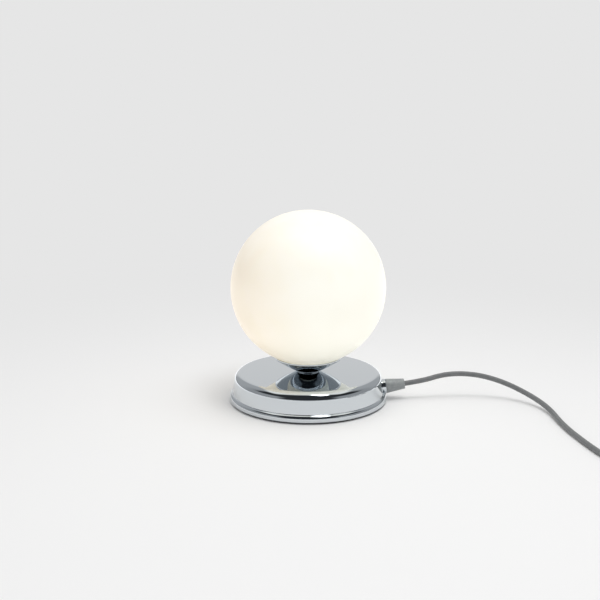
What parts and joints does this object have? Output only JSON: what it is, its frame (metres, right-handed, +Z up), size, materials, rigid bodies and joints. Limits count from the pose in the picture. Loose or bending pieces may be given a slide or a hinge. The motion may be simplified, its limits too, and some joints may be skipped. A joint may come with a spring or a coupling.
{
  "type": "glass globe table lamp",
  "caption": "Table lamp: an opal glass globe held in a shallow chrome cup on a low round weighted chrome base, with a screw-in bulb, an in-line switch and a mains cord.",
  "frame": {"origin": "centre of the foot pad's lower face, on the table", "axes": "+Z up along the lamp's axis; the cord leaves the base along +X; -Y is the front"},
  "size_m": [0.5144, 0.2932, 0.1878],
  "materials": {
    "base_chrome": "mirror-polished chrome plate on spun steel",
    "cup_chrome": "mirror-polished chrome plate on spun steel",
    "opal_glass": "white opal glass, matt outside",
    "pad_felt": "black felt",
    "zinc_steel": "zinc-plated steel",
    "cast_weight": "as cast, black dipped",
    "spring_steel": "bright spring steel",
    "gasket_rubber": "white silicone rubber",
    "holder_plastic": "white heat-proof moulding",
    "holder_ceramic": "white porcelain",
    "contact_brass": "bright brass",
    "bulb_metal": "rolled nickel-plated cap",
    "bulb_black": "black vitrite",
    "bulb_plastic": "white moulding",
    "bulb_opal": "white diffusing plastic",
    "board_white": "white solder-masked board",
    "grip_plastic": "soft grey plastic",
    "cord_pvc": "soft dark grey plastic sheath",
    "wire_brown": "brown insulation",
    "wire_blue": "blue insulation",
    "block_plastic": "natural plastic",
    "switch_plastic": "dark grey plastic",
    "plug_plastic": "dark grey moulding",
    "pin_nickel": "nickel-plated brass"
  },
  "bodies": {
    "base": {"base_shell": "base_chrome", "foot_pad": "pad_felt", "bottom_cover": "zinc_steel", "cover_screws": "zinc_steel", "base_weight": "cast_weight", "threaded_rod": "zinc_steel", "rod_nuts": "zinc_steel", "rod_washer": "zinc_steel", "spacer_tube": "zinc_steel", "stem_collar": "cup_chrome", "shade_cup": "cup_chrome", "shade_gasket": "gasket_rubber", "clip_plate": "zinc_steel", "shade_springs": "spring_steel", "clip_rivets": "zinc_steel", "holder_cap": "holder_plastic", "holder_core": "holder_ceramic", "holder_shell": "holder_plastic", "screw_sleeve": "contact_brass", "centre_contact": "contact_brass", "terminal_screws": "contact_brass", "gland_collar": "cup_chrome", "gland_nut": "zinc_steel", "cord_grip": "grip_plastic", "cord_inlet": "cord_pvc", "cord_clamp": "holder_plastic", "clamp_screws": "zinc_steel", "terminal_block": "block_plastic", "terminal_barrels": "contact_brass", "block_screws": "zinc_steel", "cord_run": "cord_pvc", "switch_lower": "switch_plastic", "switch_upper": "switch_plastic", "switch_screws": "zinc_steel", "rocker_pin": "zinc_steel", "switch_contacts": "contact_brass", "cord_link": "cord_pvc", "cord_coil": "cord_pvc", "coil_tie": "block_plastic", "plug_link": "cord_pvc", "plug_relief": "plug_plastic", "plug_body": "plug_plastic", "plug_pins": "pin_nickel", "pin_sleeves": "plug_plastic", "supply_wire_live": "wire_brown", "supply_wire_neutral": "wire_blue", "inner_wire_live": "wire_brown", "inner_wire_neutral": "wire_blue"},
    "globe": {"globe_shade": "opal_glass"},
    "bulb_carrier": {"bulb_contact": "contact_brass"},
    "bulb": {"bulb_insulator": "bulb_black", "bulb_cap": "bulb_metal", "bulb_housing": "bulb_plastic", "led_board": "board_white", "bulb_envelope": "bulb_opal"},
    "rocker": {"switch_rocker": "switch_plastic"}
  },
  "joints": [
    {"name": "globe_lift", "type": "slide", "parent": "base", "child": "globe", "axis": [0, 0, 1], "range_m": [0, 0.1]},
    {"name": "bulb_rise", "type": "slide", "parent": "base", "child": "bulb_carrier", "axis": [0, 0, 1], "range_m": [0, 0.0142]},
    {"name": "bulb_turn", "type": "hinge", "parent": "bulb_carrier", "child": "bulb", "pos_m": [0, 0, 0.07], "axis": [0, 0, 1], "range_deg": [0, 1800]},
    {"name": "rocker_tilt", "type": "hinge", "parent": "base", "child": "rocker", "pos_m": [0.327, -0.204, 0.0116], "axis": [0, 1, 0], "range_deg": [-16, 0]}
  ],
  "couplings": [
    {"joint": "bulb_rise", "follows": "bulb_turn", "m_per_rad": 0.00044882}
  ]
}
